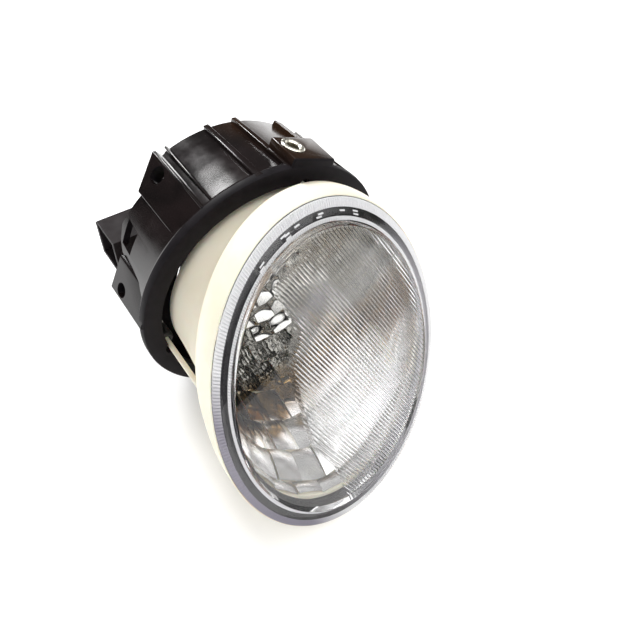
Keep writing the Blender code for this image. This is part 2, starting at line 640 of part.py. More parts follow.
def build_adjuster():
    """The aiming screw through its bush in the bracket's web, and the nut on the reflector."""
    x, y = polar(*ADJUSTER)
    shank_gap = SCREW_RADIUS + GAP
    bush_front = WEB_FRONT + 0.7
    bush_rear = WEB_REAR - 1.6
    bush = [(BUSH_RADIUS, bush_front), (BUSH_RADIUS, WEB_REAR - GAP), (BUSH_FLANGE, WEB_REAR - GAP),
            (BUSH_FLANGE, bush_rear), (shank_gap, bush_rear), (shank_gap, bush_front)]
    finish_part(move(turned("adjuster_bush", bush, SMALL_STEPS), x, y), "white_nylon")
    retainer = ring_profile(BUSH_RADIUS + 1, shank_gap, bush_front + 1.1, bush_front + GAP)
    finish_part(move(turned("screw_retainer", retainer, SMALL_STEPS), x, y), "bright_steel")
    nut_bore = SCREW_RADIUS + 0.45
    nut_front = ADJUSTER_POST_END - GAP
    nut_rear = nut_front - NUT_LENGTH
    nut = [(NUT_RADIUS - 0.4, nut_front), (NUT_RADIUS, nut_front - 0.4), (NUT_RADIUS, nut_rear),
           (nut_bore, nut_rear), (nut_bore, nut_front)]
    finish_part(move(turned("adjuster_nut", nut, SMALL_STEPS), x, y), "white_nylon")
    head_rear = SCREW_HEAD - SCREW_HEAD_HEIGHT
    screw = [(0, SCREW_TIP), (1.0, SCREW_TIP), (SCREW_RADIUS, SCREW_TIP - 0.9),
             (SCREW_RADIUS, SCREW_HEAD), (SCREW_HEAD_RADIUS, SCREW_HEAD),
             (SCREW_HEAD_RADIUS, head_rear + 0.5), (SCREW_HEAD_RADIUS - 0.5, head_rear),
             (0, head_rear)]
    screw_part = turned("aiming_screw", screw, SMALL_STEPS, closed=False)
    cross = [block("driver_slot", (-2.2, 2.2), (-0.5, 0.5), (head_rear + 1.6, head_rear - 2), turn)
             for turn in (0, 90)]
    slot = cross[0]
    boolean(slot, cross[1], "UNION")
    bake(slot)
    boolean(screw_part, slot, "DIFFERENCE")
    bake(screw_part)
    return finish_part(move(screw_part, x, y), "bright_steel")


# ---- bulb ----------------------------------------------------------------------------------

def build_bulb_base():
    """The plastic base: a sealing nose, a rear cap and a socket that turns out to the side."""
    base = turned("bulb_base", BASE_PROFILE, steps=32, closed=False)
    arm = block("connector_arm", (CONNECTOR_ROOT, CONNECTOR_REACH),
                (-CONNECTOR_HALF_WIDTH, CONNECTOR_HALF_WIDTH),
                (CONNECTOR_REAR, CONNECTOR_FRONT), CONNECTOR_ANGLE)
    boolean(base, arm, "UNION")
    ramp = block("connector_latch", LATCH, (-LATCH_HALF_WIDTH, LATCH_HALF_WIDTH),
                 (CONNECTOR_REAR - LATCH_HEIGHT, CONNECTOR_REAR + OVERLAP), CONNECTOR_ANGLE)
    boolean(base, ramp, "UNION")
    corner_side, corner_z = -CONNECTOR_HALF_WIDTH - OVERLAP, CONNECTOR_REAR - OVERLAP
    reach = CONNECTOR_CHAMFER + 2 * OVERLAP
    chamfer = prism("connector_chamfer", ((corner_side, corner_z), (corner_side + reach, corner_z),
                                          (corner_side, corner_z + reach)),
                    CONNECTOR_ANGLE, near=BASE_PROFILE[3][0], far=CONNECTOR_REACH + OVERLAP)
    boolean(base, chamfer, "DIFFERENCE")
    inside = CONNECTOR_HALF_WIDTH - CONNECTOR_WALL
    cavity = block("connector_cavity", (SOCKET_FLOOR, CONNECTOR_REACH + OVERLAP), (-inside, inside),
                   (CONNECTOR_REAR + CONNECTOR_WALL, CONNECTOR_FRONT - CONNECTOR_WALL),
                   CONNECTOR_ANGLE)
    half = BLADE_HALF_WIDTH + GAP
    slots = [block("terminal_slot", (BLADE[0] - GAP, SOCKET_FLOOR + OVERLAP),
                   (side - half, side + half), (BLADE_Z[0] - GAP, BLADE_Z[1] + GAP),
                   CONNECTOR_ANGLE) for side in (-BLADE_SIDE, BLADE_SIDE)]
    boolean(base, cavity, "DIFFERENCE")
    boolean(base, join_shapes("terminal_slots", slots), "DIFFERENCE")
    return finish_part(base, "grey_bulb_plastic")


def build_terminals():
    for name, side in (("bulb_terminal_low", BLADE_SIDE), ("bulb_terminal_high", -BLADE_SIDE)):
        blade = block(name, BLADE, (side - BLADE_HALF_WIDTH, side + BLADE_HALF_WIDTH), BLADE_Z,
                      CONNECTOR_ANGLE)
        finish_part(blade, "bright_steel")


def build_lock_ring():
    """The steel ring with three tabs that lock behind the reflector's bulb hole."""
    profile = ring_profile(LOCK_RING_RADIUS, LOCK_RING_BORE, *LOCK_RING_Z)
    ring = turned("bulb_lock_ring", profile, steps=24)
    tabs = [block("lock_tab", LOCK_TAB, (-LOCK_TAB_HALF_WIDTH, LOCK_TAB_HALF_WIDTH), LOCK_TAB_Z,
                  CONNECTOR_ANGLE + 120 * i) for i in range(3)]
    boolean(ring, join_shapes("lock_tabs", tabs), "UNION")
    return finish_part(ring, "bright_steel")


def build_bulb_small_parts():
    seal = bmesh.new()
    rings, sides = 24, 6
    middle, depth = SEAL_PLACE
    loops = []
    for i in range(rings):
        turn = Matrix.Rotation(2 * pi * i / rings, 3, "Z")
        loops.append([seal.verts.new(turn @ Vector((
            middle + SEAL_THICKNESS * cos(2 * pi * k / sides), 0,
            depth + SEAL_THICKNESS * sin(2 * pi * k / sides)))) for k in range(sides)])
    for i in range(rings):
        for k in range(sides):
            seal.faces.new((loops[i][k], loops[(i + 1) % rings][k],
                            loops[(i + 1) % rings][(k + 1) % sides], loops[i][(k + 1) % sides]))
    bmesh.ops.recalc_face_normals(seal, faces=seal.faces)
    finish_part(mesh_object("bulb_o_ring", seal), "red_rubber")

    sleeve = ring_profile(SLEEVE_RADIUS, GLASS_RADIUS + GAP, *SLEEVE_Z)
    finish_part(turned("bulb_sleeve", sleeve, steps=24), "bright_steel")

    tip = GLASS_TIP - GLASS_RADIUS
    inner = GLASS_RADIUS - GLASS_WALL
    arc = [radians(22.5 * i) for i in range(5)]
    outside = [(GLASS_RADIUS * sin(a), tip + GLASS_RADIUS * cos(a)) for a in arc]
    inside = [(inner * sin(a), tip + inner * cos(a)) for a in arc]
    glass = outside + [(GLASS_RADIUS, GLASS_REAR), (inner, GLASS_REAR)] + inside[::-1]
    finish_part(turned("bulb_glass", glass, steps=20, closed=False), "clear_glass")


def wire(name, points, radius):
    """A round wire through these points, as a closed mesh."""
    curve = bpy.data.curves.new(name, "CURVE")
    curve.dimensions = "3D"
    curve.bevel_depth = radius * MM
    curve.bevel_resolution = 1
    curve.use_fill_caps = True
    spline = curve.splines.new("POLY")
    spline.points.add(len(points) - 1)
    for target, point in zip(spline.points, points):
        target.co = (*[value * MM for value in point], 1)
    path = bpy.data.objects.new(name + "_path", curve)
    CUTTERS.objects.link(path)
    depsgraph = bpy.context.evaluated_depsgraph_get()
    mesh = bpy.data.meshes.new_from_object(path.evaluated_get(depsgraph))
    bpy.data.objects.remove(path, do_unlink=True)
    bm = bmesh.new()
    bm.from_mesh(mesh)
    bmesh.ops.remove_doubles(bm, verts=bm.verts, dist=0.000001)
    bmesh.ops.recalc_face_normals(bm, faces=bm.faces)
    bm.to_mesh(mesh)
    bm.free()
    obj = bpy.data.objects.new(name, mesh)
    CUTTERS.objects.link(obj)
    return obj


def build_filament():
    """A coiled filament across the bulb, with its two support wires."""
    steps = 8
    coil = []
    for i in range(COIL_TURNS * steps + 1):
        angle = 2 * pi * i / steps
        along = COIL_LENGTH * (i / (COIL_TURNS * steps) - 0.5)
        coil.append((COIL_RADIUS * cos(angle), along, FILAMENT_PLANE + COIL_RADIUS * sin(angle)))
    finish_part(wire("bulb_filament", coil, COIL_WIRE), "tungsten")
    end = COIL_LENGTH / 2 + COIL_WIRE + SUPPORT_WIRE + 0.24
    for name, side in (("bulb_wire_upper", 1), ("bulb_wire_lower", -1)):
        points = [(0.6 * side, side * 2.0, GLASS_REAR + 0.4), (0.9 * side, side * 2.9, -21.0),
                  (COIL_RADIUS, side * end, FILAMENT_PLANE - 0.4)]
        finish_part(wire(name, points, SUPPORT_WIRE), "bright_steel")


build_cup()
build_insert()
build_pivot("upper", UPPER_PIVOT)
build_pivot("side", SIDE_PIVOT)
build_adjuster()
build_reflector()
build_lens_seal()
build_lens()
build_breather()
build_bulb_base()
build_terminals()
build_lock_ring()
build_bulb_small_parts()
build_filament()
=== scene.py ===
"""Fog light: fluted glass lens, cream housing with a faceted mirror, and a ribbed black bracket cup."""
import json
from collections import namedtuple
from math import cos, pi, radians, sin, sqrt

import bmesh
import bpy
from mathutils import Matrix, Vector


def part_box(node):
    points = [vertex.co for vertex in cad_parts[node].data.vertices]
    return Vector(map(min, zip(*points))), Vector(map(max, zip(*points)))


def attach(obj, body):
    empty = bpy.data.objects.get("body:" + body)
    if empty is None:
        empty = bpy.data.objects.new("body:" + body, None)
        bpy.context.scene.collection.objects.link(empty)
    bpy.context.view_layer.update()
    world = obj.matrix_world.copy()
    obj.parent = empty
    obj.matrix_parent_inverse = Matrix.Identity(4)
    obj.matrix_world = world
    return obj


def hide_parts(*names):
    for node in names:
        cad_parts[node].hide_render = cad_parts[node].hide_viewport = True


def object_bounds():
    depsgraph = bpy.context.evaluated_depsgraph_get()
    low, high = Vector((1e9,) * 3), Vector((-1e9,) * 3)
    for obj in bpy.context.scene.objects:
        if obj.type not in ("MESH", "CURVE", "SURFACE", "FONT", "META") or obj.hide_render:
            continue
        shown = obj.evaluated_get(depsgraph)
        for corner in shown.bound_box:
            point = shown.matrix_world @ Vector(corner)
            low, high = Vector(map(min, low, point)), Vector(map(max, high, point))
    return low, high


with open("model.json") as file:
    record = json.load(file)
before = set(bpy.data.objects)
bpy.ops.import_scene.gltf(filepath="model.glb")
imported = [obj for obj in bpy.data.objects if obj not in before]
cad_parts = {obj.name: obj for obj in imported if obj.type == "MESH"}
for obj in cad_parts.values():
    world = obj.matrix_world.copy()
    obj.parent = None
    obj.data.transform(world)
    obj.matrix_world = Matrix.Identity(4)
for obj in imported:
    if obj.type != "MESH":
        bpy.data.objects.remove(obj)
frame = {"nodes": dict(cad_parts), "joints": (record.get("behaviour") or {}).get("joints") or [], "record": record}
cad_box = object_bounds()
record = frame["record"]
scene = bpy.context.scene
MM = 0.001

# The lamp's axis comes from the bulb's joint, and the ring's front face from the bracket's box.
# Shapes below use millimetres from there: X right, Y up, Z forward.
twist = next(joint for joint in frame["joints"] if joint["name"] == "bulb_twist")
AXIS_X, AXIS_Z = twist["pos_m"][0], twist["pos_m"][2]
RING_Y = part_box("bracket_cup")[0].y


def at(x, y, z):
    """A lamp point in millimetres, as a place in the scene."""
    return Vector((AXIS_X + x * MM, RING_Y - z * MM, AXIS_Z + y * MM))


# ---- the raked lamp ------------------------------------------------------------------------

# The lens's plane leans back by these slopes; the lean grows from the neck to the flange.
RAKE_X, RAKE_Y = 0.223, 0.559
RAKE_START, RAKE_FULL = 3.0, 29.5
# How far the housing's middle line is off the axis, as (depth, offset) points.
MIDDLE_X = ((-22.0, 0.0), (-6.0, 0.4), (6.0, 0.4), (RAKE_FULL, -0.5))
MIDDLE_Y = ((-22.0, 0.0), (-6.0, 1.4), (6.0, 1.4), (RAKE_FULL, -1.7))

# Two pivots and the adjuster: each has a housing post, a pocket in the ring and a bore in the web.
Pivot = namedtuple("Pivot", "radius angle post_radius post_rear pocket_radius web_bore_radius")
PIVOTS = (Pivot(38.9, 66.0, 0.9, -5.4, 2.4, 1.8),
          Pivot(38.9, 190.0, 0.9, -5.4, 2.4, 1.8),
          Pivot(37.4, 297.0, 3.2, -3.5, 4.1, 2.9))


def polar(radius, angle):
    return radius * cos(radians(angle)), radius * sin(radians(angle))


def between(value, points):
    """The height of a line through (place, height) points, flat before the first and after the last."""
    if value <= points[0][0]:
        return points[0][1]
    for (low, start), (high, end) in zip(points, points[1:]):
        if value <= high:
            return start + (value - low) / (high - low) * (end - start)
    return points[-1][1]


def rake_share(z):
    return between(z, ((RAKE_START, 0.0), (RAKE_FULL, 1.0)))


def raked(x, y, z):
    """A housing or lens point before the rake, moved to where the raked lamp has it."""
    x, y = x + between(z, MIDDLE_X), y + between(z, MIDDLE_Y)
    return x, y, z - rake_share(z) * (RAKE_X * x + RAKE_Y * y)


def straight(x, y, z):
    """The same point: the bracket isn't raked."""
    return x, y, z


# ---- materials -----------------------------------------------------------------------------

NOISE_LOW, NOISE_HIGH = 0.3, 0.7    # most of a noise's values lie between these
MIX_FACTOR, MIX_FIRST, MIX_SECOND, MIX_RESULT = 0, 6, 7, 2    # a Mix node's colour sockets


class Nodes:
    """Short names for building one material's nodes."""

    def __init__(self, name, **values):
        self.material = bpy.data.materials.new(name)
        self.material.use_nodes = True
        self.tree = self.material.node_tree
        self.shader = self.tree.nodes["Principled BSDF"]
        self.coords = self.tree.nodes.new("ShaderNodeTexCoord").outputs["Object"]
        for key, value in values.items():
            self.shader.inputs[key.replace("_", " ")].default_value = value

    def add(self, kind, **settings):
        """A new node; a setting is one of its properties or the value of one of its inputs."""
        node = self.tree.nodes.new(kind)
        for key, value in settings.items():
            if hasattr(node, key):
                setattr(node, key, value)
            else:
                node.inputs[key.replace("_", " ")].default_value = value
        return node

    def link(self, source, target):
        self.tree.links.new(source, target)

    def drive(self, socket, source):
        """Link a source to one of the shader's own sockets."""
        self.link(source, self.shader.inputs[socket])

    def noise(self, scale, detail=4.0, roughness=0.6):
        node = self.add("ShaderNodeTexNoise", Scale=scale, Detail=detail, Roughness=roughness)
        self.link(self.coords, node.inputs["Vector"])
        return node.outputs["Fac"]

    def ramp(self, source, *stops):
        node = self.add("ShaderNodeValToRGB")
        while len(node.color_ramp.elements) < len(stops):
            node.color_ramp.elements.new(0.5)
        for element, (place, colour) in zip(node.color_ramp.elements, stops):
            element.position = place
            element.color = (*colour, 1.0)
        self.link(source, node.inputs["Fac"])
        return node.outputs["Color"]

    def tones(self, source, dark, light):
        """Two colours that run into each other over a noise."""
        return self.ramp(source, (NOISE_LOW, dark), (NOISE_HIGH, light))

    def remap(self, source, low, high, from_low=NOISE_LOW, from_high=NOISE_HIGH):
        node = self.add("ShaderNodeMapRange", From_Min=from_low, From_Max=from_high, To_Min=low,
                        To_Max=high)
        self.link(source, node.inputs["Value"])
        return node.outputs["Result"]

    def mix(self, first, second, factor=None, blend_type="MIX"):
        """Two colours mixed, or blended in full where there is no factor."""
        node = self.add("ShaderNodeMix", data_type="RGBA", blend_type=blend_type)
        node.inputs[MIX_FACTOR].default_value = 1.0
        if factor is not None:
            self.link(factor, node.inputs[MIX_FACTOR])
        self.link(first, node.inputs[MIX_FIRST])
        self.link(second, node.inputs[MIX_SECOND])
        return node.outputs[MIX_RESULT]

    def along(self, direction, centre, low, high):
        """Nought to one along a direction through a lamp point, in millimetres."""
        node = self.add("ShaderNodeVectorMath", operation="DOT_PRODUCT")
        heading = Vector((direction[0], -direction[2], direction[1])).normalized()
        node.inputs[1].default_value = heading
        self.link(self.coords, node.inputs[0])
        middle = heading.dot(at(*centre))
        return self.remap(node.outputs["Value"], 0.0, 1.0, middle + low * MM, middle + high * MM)

    def bump(self, source, distance, strength=0.5):
        node = self.add("ShaderNodeBump", Strength=strength, Distance=distance)
        self.link(source, node.inputs["Height"])
        self.drive("Normal", node.outputs["Normal"])


def plastic(name, dark, light, roughness, grain, bump=0.00002, specular=0.5):
    nodes = Nodes(name, Specular_IOR_Level=specular)
    nodes.drive("Base Color", nodes.tones(nodes.noise(scale=90.0), dark, light))
    nodes.drive("Roughness", nodes.remap(nodes.noise(scale=260.0), *roughness))
    nodes.bump(nodes.noise(scale=grain, detail=3.0), bump)
    return nodes.material


def metal(name, dark, light, roughness):
    nodes = Nodes(name, Metallic=1.0)
    streaks = nodes.noise(scale=700.0)
    nodes.drive("Base Color", nodes.ramp(streaks, (0.35, dark), (0.65, light)))
    nodes.drive("Roughness", nodes.remap(nodes.noise(scale=300.0), *roughness))
    nodes.bump(streaks, distance=0.00001, strength=0.3)
    return nodes.material


def glass(name, colour, ior, roughness):
    """Clear glass that lets the lamps' light through to what is behind it."""
    paler, smoother = 1.02, 0.6
    nodes = Nodes(name, IOR=ior, Transmission_Weight=1.0)
    clouds = nodes.noise(scale=60.0, detail=2.0)
    pale = tuple(min(1.0, channel * paler) for channel in colour)
    nodes.drive("Base Color", nodes.tones(clouds, colour, pale))
    nodes.drive("Roughness", nodes.remap(clouds, roughness * smoother, roughness))
    path = nodes.add("ShaderNodeLightPath")
    clear = nodes.add("ShaderNodeBsdfTransparent")
    mix = nodes.add("ShaderNodeMixShader")
    nodes.link(path.outputs["Is Shadow Ray"], mix.inputs["Fac"])
    nodes.link(nodes.shader.outputs["BSDF"], mix.inputs[1])
    nodes.link(clear.outputs["BSDF"], mix.inputs[2])
    nodes.link(mix.outputs["Shader"], nodes.tree.nodes["Material Output"].inputs["Surface"])
    return nodes.material


def black_plastic():
    """The bracket's glossy black, with a painted brown reflection on its upper right part."""
    nodes = Nodes("black_plastic", Specular_IOR_Level=0.30)
    blotches = nodes.noise(scale=70.0)
    # Painted reflection: the black is mixed towards brown on the upper right part.
    painted_reflection_side = nodes.along(direction=(0.55, 0.80, -0.25), centre=(20.0, 40.0, -20.0), low=-6.0, high=4.0)
    brown = nodes.tones(blotches, (0.016, 0.008, 0.005), (0.045, 0.020, 0.006))
    black = nodes.tones(blotches, (0.005, 0.004, 0.004), (0.012, 0.008, 0.008))
    nodes.drive("Base Color", nodes.mix(black, brown, factor=painted_reflection_side))
    nodes.drive("Roughness", nodes.remap(nodes.noise(scale=140.0), 0.10, 0.22))
    nodes.bump(nodes.noise(scale=60.0, detail=2.0), distance=0.00010, strength=0.22)
    return nodes.material


def matt_black():
    """The bracket's front faces, which have a fine matt finish."""
    nodes = Nodes("black_plastic_matt", Specular_IOR_Level=0.08)
    grain = nodes.noise(scale=300.0)
    nodes.drive("Base Color", nodes.tones(grain, (0.006, 0.005, 0.006), (0.012, 0.010, 0.012)))
    nodes.drive("Roughness", nodes.remap(grain, 0.45, 0.6))
    nodes.bump(grain, distance=0.00003)
    return nodes.material


def sealant():
    """Dark grey sealant with painted light, which pales it towards the lens's lower right edge."""
    nodes = Nodes("dark_sealant", Specular_IOR_Level=0.3, Roughness=0.6)
    side = nodes.along(direction=(0.80, -0.60, 0.0), centre=(-0.5, -1.7, 38.0), low=-46.0, high=46.0)
    # Painted light: the grey pales to white at the lower right edge, and is a little paler at the upper left.
    nodes.drive("Base Color", nodes.ramp(side, (0.0, (0.045, 0.042, 0.047)),
                                         (0.42, (0.014, 0.012, 0.012)),
                                         (0.60, (0.014, 0.011, 0.010)),
                                         (0.72, (0.20, 0.19, 0.21)),
                                         (0.88, (0.62, 0.60, 0.64))))
    nodes.bump(nodes.noise(scale=400.0), distance=0.00003)
    return nodes.material


def cream():
    """The housing's cream plastic, which lets a little light in."""
    nodes = Nodes("cream_shell", Specular_IOR_Level=0.4, Subsurface_Weight=0.15,
                  Subsurface_Scale=0.002)
    nodes.drive("Base Color", nodes.tones(nodes.noise(scale=45.0), (0.82, 0.75, 0.59),
                                          (0.89, 0.84, 0.71)))
    nodes.drive("Roughness", nodes.remap(nodes.noise(scale=200.0), 0.35, 0.5))
    nodes.bump(nodes.noise(scale=500.0), distance=0.00002)
    return nodes.material


def tooth_glass(name, shade_colour):
    """Pressed glass teeth, whitish and mostly opaque as painted highlights, with a painted-shade tone on the
    lens's left side.
    """
    nodes = Nodes(name, IOR=1.5, Transmission_Weight=0.25)
    left = nodes.along(direction=(-0.95, -0.31, 0.0), centre=(0.0, 0.0, 0.0), low=28.0, high=38.0)
    # Painted highlight in the whitish colour, and painted shade in the left side's tone.
    nodes.drive("Base Color", nodes.ramp(left, (0.0, (0.97, 0.965, 0.98)), (1.0, shade_colour)))
    nodes.drive("Roughness", nodes.remap(nodes.noise(scale=80.0), 0.10, 0.22))
    return nodes.material


def mirror():
    """The coated bowl, clear deep inside and hazy further forward; its colour is painted reflection: green-grey
    deep inside, an amber band, then white.
    """
    nodes = Nodes("mirror_coating", Metallic=1.0)
    depth = nodes.along(direction=(0.08, -0.357, 1.0), centre=(-2.0, -35.0, 20.5), low=-14.0,
                        high=22.0)
    # Painted reflections: grey, amber and white bands along the bowl's depth.
    painted_reflections = nodes.ramp(depth, (0.10, (0.68, 0.67, 0.64)), (0.22, (0.36, 0.24, 0.10)),
                      (0.46, (0.26, 0.15, 0.05)), (0.60, (0.92, 0.88, 0.85)),
                      (0.74, (1.0, 0.99, 0.98)))
    haze = nodes.tones(nodes.noise(scale=120.0), (0.93, 0.93, 0.93), (1.0, 1.0, 1.0))
    nodes.drive("Base Color", nodes.mix(painted_reflections, haze, blend_type="MULTIPLY"))
    nodes.drive("Roughness", nodes.remap(depth, 0.04, 0.20, from_low=0.50, from_high=0.85))
    return nodes.material


MATERIALS = {
    "black_plastic": black_plastic(),
    "insert_metal": metal("insert_metal", (0.78, 0.74, 0.62), (0.92, 0.89, 0.80), (0.18, 0.32)),
    "bright_steel": metal("bright_steel", (0.55, 0.54, 0.52), (0.75, 0.74, 0.71), (0.22, 0.40)),
    "white_nylon": plastic("white_nylon", (0.70, 0.70, 0.66), (0.80, 0.80, 0.77), (0.40, 0.55),
                           grain=400.0),
    "black_nylon": plastic("black_nylon", (0.012, 0.012, 0.012), (0.03, 0.03, 0.03), (0.35, 0.50),
                           grain=400.0),
    "cream_shell": cream(),
    "lens_glass": glass("lens_glass", (0.985, 0.99, 0.995), ior=1.50, roughness=0.02),
    "bulb_glass": glass("bulb_glass", (0.98, 0.98, 0.98), ior=1.46, roughness=0.02),
    "dark_sealant": sealant(),
    "black_rubber": plastic("black_rubber", (0.010, 0.010, 0.010), (0.02, 0.02, 0.02), (0.60, 0.75),
                            grain=500.0),
    "silicone_rubber": plastic("silicone_rubber", (0.35, 0.06, 0.03), (0.45, 0.09, 0.05),
                               (0.50, 0.60), grain=500.0),
    "bulb_plastic": plastic("bulb_plastic", (0.010, 0.008, 0.009), (0.022, 0.017, 0.018),
                            (0.50, 0.65), grain=350.0, bump=0.00006, specular=0.08),
    "tungsten": metal("tungsten", (0.30, 0.29, 0.28), (0.45, 0.44, 0.43), (0.35, 0.5)),
}
MIRROR = mirror()
MATT_BLACK = matt_black()
# Tooth glass: whitish painted highlights, with a painted-shade tone on the lens's left side.
TOOTH_GLASS = tooth_glass("tooth_glass", (0.34, 0.32, 0.38))
FINE_TOOTH_GLASS = tooth_glass("fine_tooth_glass", (0.90, 0.89, 0.92))

SHARP = 35    # degrees; an edge sharper than this stays a crisp corner
for part in record["subparts"]:
    node = frame["nodes"][part["node"]]
    node.data.materials.clear()
    node.data.materials.append(MATERIALS[part["material_slot"]])
    node.data.set_sharp_from_angle(angle=radians(SHARP))


# ---- mesh helpers --------------------------------------------------------------------------

WELD = 0.002
BEVEL_SHARP = 50


def shade(mesh, sharp=SHARP):
    """Smooth shading, with crisp corners at edges sharper than an angle."""
    mesh.polygons.foreach_set("use_smooth", [True] * len(mesh.polygons))
    mesh.set_sharp_from_angle(angle=radians(sharp))


def new_piece(name, vertices, faces, slot, sharp=SHARP, material=None):
    """An object from lamp points and faces, with its doubled points welded."""
    mesh = bpy.data.meshes.new(name)
    mesh.from_pydata([at(*point) for point in vertices], [], faces)
    piece = bpy.data.objects.new(name, mesh)
    scene.collection.objects.link(piece)
    bm = bmesh.new()
    bm.from_mesh(mesh)
    bmesh.ops.remove_doubles(bm, verts=bm.verts, dist=WELD * MM)
    bmesh.ops.recalc_face_normals(bm, faces=bm.faces)
    bm.to_mesh(mesh)
    bm.free()
    shade(mesh, sharp)
    mesh.materials.append(material or MATERIALS[slot])
    piece["slot_name"] = slot
    return piece


def sweep(rows, closed=True):
    """Faces between rows of points that go round; closed joins the last row to the first."""
    count = len(rows[0])
    vertices = [point for row in rows for point in row]
    faces = []
    pairs = len(rows) if closed else len(rows) - 1
    for i in range(pairs):
        a, b = i * count, (i + 1) % len(rows) * count
        for j in range(count):
            k = (j + 1) % count
            faces.append((a + j, a + k, b + k, b + j))
    return vertices, faces


def turn(name, profile, slot, steps, warp=straight, closed=True, centre=(0.0, 0.0), sharp=SHARP):
    """A profile of (radius, depth) turned about the axis; warp moves each point to its place."""
    rows = []
    for radius, z in profile:
        row = []
        for j in range(steps):
            angle = 2 * pi * j / steps
            row.append(warp(centre[0] + radius * cos(angle), centre[1] + radius * sin(angle), z))
        rows.append(row)
    vertices, faces = sweep(rows, closed)
    return new_piece(name, vertices, faces, slot, sharp)


def bevelled(name, corners, slot, size, segments=3):
    """Eight corners, near face then far face, as a block with rounded edges."""
    faces = [(0, 1, 2, 3), (7, 6, 5, 4), (0, 4, 5, 1), (1, 5, 6, 2), (2, 6, 7, 3), (3, 7, 4, 0)]
    piece = new_piece(name, corners, faces, slot)
    bm = bmesh.new()
    bm.from_mesh(piece.data)
    bmesh.ops.bevel(bm, geom=list(bm.edges), offset=size * MM, segments=segments, profile=0.5,
                    affect="EDGES", clamp_overlap=True)
    bm.to_mesh(piece.data)
    bm.free()
    shade(piece.data, BEVEL_SHARP)
    return piece


def square_to(normal, out, side, z):
    """A lamp point given square to a flat that faces an angle round the axis."""
    x, y = polar(out, normal)
    side_x, side_y = polar(side, normal + 90)
    return x + side_x, y + side_y, z


def block(name, normal, out, side, z, size, tilt=0.0):
    """A bevelled block square to a flat; tilt lowers its outer face at the rear."""
    corners = []
    for height, drop in ((out[0], 0.0), (out[1], tilt)):
        corners += [square_to(normal, height, side[0], z[0]),
                    square_to(normal, height, side[1], z[0]),
                    square_to(normal, height - drop, side[1], z[1]),
                    square_to(normal, height - drop, side[0], z[1])]
    return bevelled(name, corners, "black_plastic", size)


def solid_between(name, near_ring, far_ring):
    """A closed solid between two rings of points, for cutting."""
    steps = len(near_ring)
    vertices, faces = sweep([near_ring, far_ring], closed=False)
    faces += [tuple(range(steps)), tuple(range(2 * steps - 1, steps - 1, -1))]
    return new_piece(name, vertices, faces, "black_plastic")


def prism(name, outline, normal, near, far):
    """A cutting tool with an outline of (side, depth) points on a flat."""
    return solid_between(name, *([square_to(normal, out, side, z) for side, z in outline]
                                 for out in (near, far)))


def circle(radius, steps):
    return [(radius * cos(2 * pi * i / steps), radius * sin(2 * pi * i / steps))
            for i in range(steps)]


def bore(name, normal, side, z, radius, near, far):
    """A round cutting tool square to a flat."""
    return solid_between(name, *([square_to(normal, out, side + a, z + b)
                                  for a, b in circle(radius, 48)] for out in (near, far)))


def drill(name, centre, radius, front, rear, steps):
    """A round cutting tool along the lamp's axis."""
    return solid_between(name, *([(centre[0] + a, centre[1] + b, z)
                                  for a, b in circle(radius, steps)] for z in (front, rear)))


def cut(piece, *tools):
    """Take the tools' space out of a piece, for good."""
    for tool in tools:
        modifier = piece.modifiers.new("cut", "BOOLEAN")
        modifier.object = tool
        modifier.solver = "EXACT"
    bpy.context.view_layer.update()
    solid = piece.evaluated_get(bpy.context.evaluated_depsgraph_get())
    mesh = bpy.data.meshes.new_from_object(solid)
    piece.modifiers.clear()
    piece.data = mesh
    for tool in tools:
        bpy.data.objects.remove(tool)
    shade(mesh)
    return piece


def join(name, pieces):
    """One object holding all the pieces' shells."""
    bm = bmesh.new()
    for piece in pieces:
        bm.from_mesh(piece.data)
    mesh = bpy.data.meshes.new(name)
    bm.to_mesh(mesh)
    bm.free()
    mesh.materials.append(pieces[0].data.materials[0])
    joined = bpy.data.objects.new(name, mesh)
    scene.collection.objects.link(joined)
    joined["slot_name"] = pieces[0]["slot_name"]
    for piece in pieces:
        bpy.data.objects.remove(piece)
    shade(mesh)
    return joined


def fit(piece, body, *replaced):
    """Put a finished piece on its body, and in the place of CAD nodes."""
    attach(piece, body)
    if replaced:
        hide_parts(*replaced)


# ---- lens: the fluted face -----------------------------------------------------------------

STEP_RADIUS = 39.8
FACE_FRONT = 42.1
CROWN = 2.7
GLASS = 2.8
FACE_INSET, CROWN_INSET = 0.3, 0.5
FACE_ROWS, FACE_COLUMNS = 440, 60
OUTER_ROW = 0.99999    # the first and last rows stop just short of the edge, so they keep a width
FLUTE_ANGLE = -65.0
FLUTE_PITCH = 1.08
FLUTE_DEPTH = 0.40
FLUTE_START = 0.6
RIPPLE_DEPTH, RIPPLE_PITCH = 0.035, 9.0
RIPPLE_SHIFT, RIPPLE_SPREAD = 0.9, 6.0
# Where the flutes start, as (height, side) points up the lens.
PLAIN_EDGE = ((-46.0, -12.0), (-22.0, -15.0), (-10.0, -19.5), (0.0, -18.5), (14.0, -17.0),
              (21.0, -10.0), (30.5, -12.4), (33.4, -8.2), (34.2, -1.0), (39.5, 6.5), (46.0, 12.0))


def smooth(value, high):
    """Nought to one, with a soft start and end."""
    share = min(max(value / high, 0.0), 1.0)
    return share * share * (3 - 2 * share)


def flute(x, y):
    """Depth of the flutes cut into the lens's inner face."""
    across = x * cos(radians(FLUTE_ANGLE + 90)) + y * sin(radians(FLUTE_ANGLE + 90))
    wave = abs(sin(pi * across / FLUTE_PITCH))
    along = x * cos(radians(FLUTE_ANGLE)) + y * sin(radians(FLUTE_ANGLE))
    ripple = RIPPLE_DEPTH * sin(2 * pi * along / RIPPLE_PITCH
                                + RIPPLE_SHIFT * sin(across / RIPPLE_SPREAD))
    inside = smooth(x - between(y, PLAIN_EDGE), FLUTE_START)
    return inside * (FLUTE_DEPTH * wave + ripple)


def face_height(x, y):
    radius = STEP_RADIUS - CROWN_INSET
    return FACE_FRONT + CROWN * (1 - (x * x + y * y) / (radius * radius))


